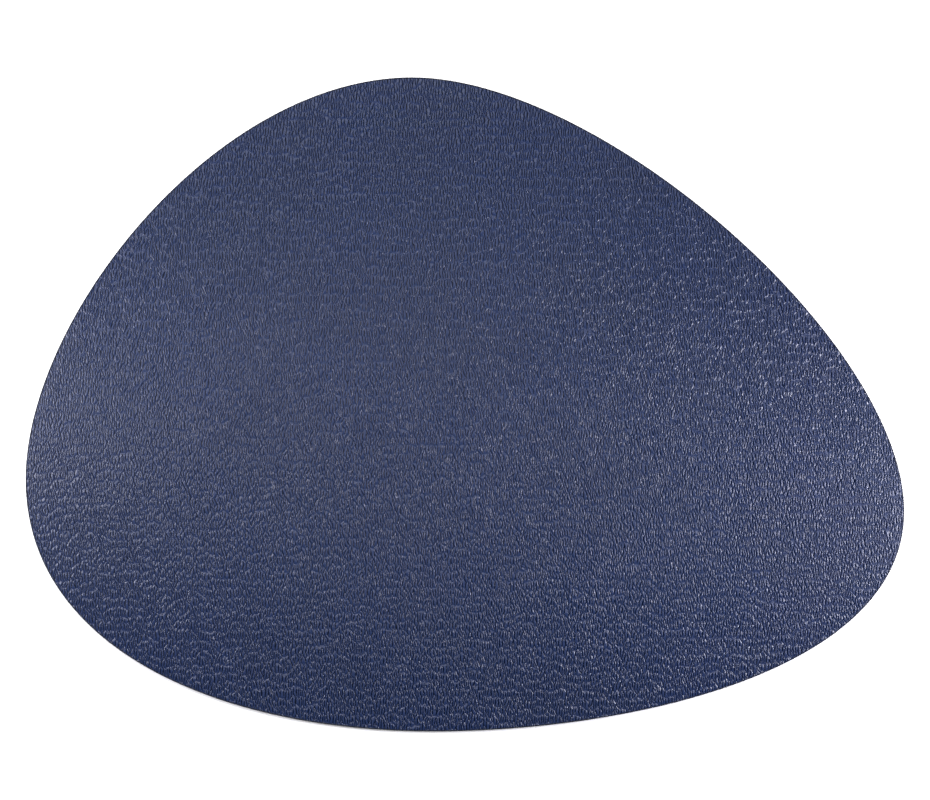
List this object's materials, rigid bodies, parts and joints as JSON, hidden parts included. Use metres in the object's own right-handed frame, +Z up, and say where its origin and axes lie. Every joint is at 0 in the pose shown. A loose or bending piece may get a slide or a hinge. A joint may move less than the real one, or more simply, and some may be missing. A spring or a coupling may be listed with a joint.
{
  "type": "placemat",
  "caption": "Pebble-shaped leather-look table mat: two grained coated-cloth faces bonded to a thin stiffener board, with a painted cut edge.",
  "frame": {"origin": "middle of the outline's bounding box, on the underside that lies on the table", "axes": "+X along the mat's long side, +Y across it from the broad near side to the narrower far side, +Z up, out of the grained face"},
  "size_m": [0.44, 0.3274, 0.0022],
  "materials": {
    "grain_film": "navy, pebbled grain, semi-matt with a soft sheen",
    "base_cloth": "matt grey-blue knitted backing cloth",
    "bond_film": "translucent hot-melt film",
    "board": "matt brown fibre board",
    "edge_coat": "satin navy-black edge paint"
  },
  "bodies": {
    "root": {"back_grain_film": "grain_film", "back_base_cloth": "base_cloth", "back_bond_film": "bond_film", "stiffener_board": "board", "face_bond_film": "bond_film", "face_base_cloth": "base_cloth", "face_grain_film": "grain_film", "edge_coat": "edge_coat"}
  },
  "joints": []
}
